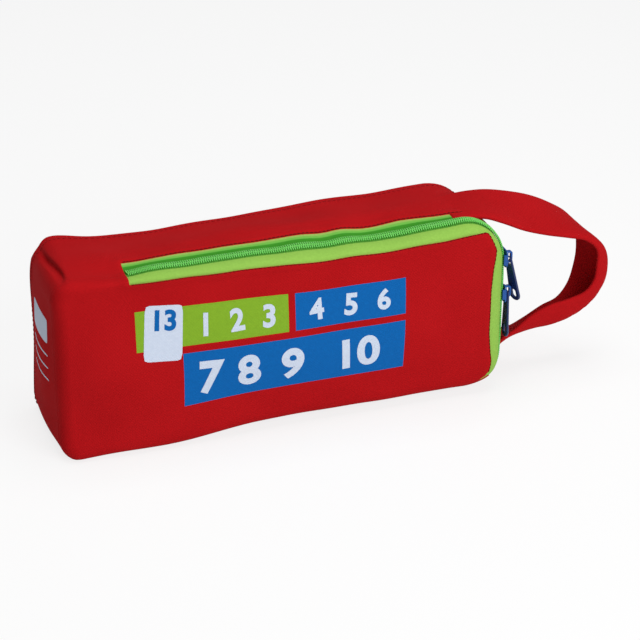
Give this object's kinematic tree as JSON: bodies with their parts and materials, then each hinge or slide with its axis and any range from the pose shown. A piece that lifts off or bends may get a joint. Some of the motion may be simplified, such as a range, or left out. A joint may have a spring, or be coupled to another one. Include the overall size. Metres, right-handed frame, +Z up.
{
  "type": "zippered tile case",
  "caption": "Soft red box-shaped zip case for a tile game, with a corner zip, a front that folds open and a strap handle at one end.",
  "frame": {"origin": "centre of the underside, on the surface that the case stands on", "axes": "+Z up, the printed front faces -Y, +X along the case towards the carrying handle"},
  "size_m": [0.3404, 0.075, 0.1132],
  "materials": {
    "shell_cloth": "woven polyester, foam backed",
    "strap_cloth": "folded woven polyester",
    "seam_binding": "woven binding tape",
    "zip_tape": "herringbone woven tape",
    "zip_coil": "nylon monofilament coil",
    "slider_lacquer": "lacquered zinc casting",
    "pull_lacquer": "lacquered zinc casting"
  },
  "bodies": {
    "case": {"back_panel": "shell_cloth", "top_panel": "shell_cloth", "bottom_panel": "shell_cloth", "left_end_panel": "shell_cloth", "right_end_panel": "shell_cloth", "front_panel": "shell_cloth", "back_seam_binding": "seam_binding", "front_seam_binding": "seam_binding", "zipper_tape_rear": "zip_tape", "zipper_coil_rear": "zip_coil", "handle_root_upper": "strap_cloth", "handle_root_lower": "strap_cloth"},
    "front_flap": {"front_flap_panel": "shell_cloth", "zipper_tape_front": "zip_tape", "zipper_coil_front": "zip_coil"},
    "upper_slider": {"upper_slider": "slider_lacquer"},
    "upper_pull": {"upper_pull": "pull_lacquer"},
    "lower_slider": {"lower_slider": "slider_lacquer"},
    "lower_pull": {"lower_pull": "pull_lacquer"},
    "handle": {"handle_loop": "strap_cloth"}
  },
  "joints": [
    {"name": "front_flap_fold", "type": "hinge", "parent": "case", "child": "front_flap", "pos_m": [-0.094, -0.0375, 0.104], "axis": [0.9222, 0, -0.3866], "range_deg": [0, 100]},
    {"name": "upper_slider_travel", "type": "hinge", "parent": "case", "child": "upper_slider", "pos_m": [0.107, -0.026, 0.084], "axis": [0, -1, 0], "range_deg": [0, 90]},
    {"name": "upper_pull_swing", "type": "hinge", "parent": "upper_slider", "child": "upper_pull", "pos_m": [0.1395, -0.026, 0.084], "axis": [0, -1, 0], "range_deg": [0, 108]},
    {"name": "lower_slider_travel", "type": "slide", "parent": "case", "child": "lower_slider", "axis": [0, 0, -1], "range_m": [0, 0.028]},
    {"name": "lower_pull_swing", "type": "hinge", "parent": "lower_slider", "child": "lower_pull", "pos_m": [0.1395, -0.026, 0.0615], "axis": [0, -1, 0], "range_deg": [0, 26]},
    {"name": "handle_sway", "type": "hinge", "parent": "case", "child": "handle", "pos_m": [0.152, -0.0055, 0.065], "axis": [0, 0, 1], "range_deg": [-25, 25]}
  ]
}
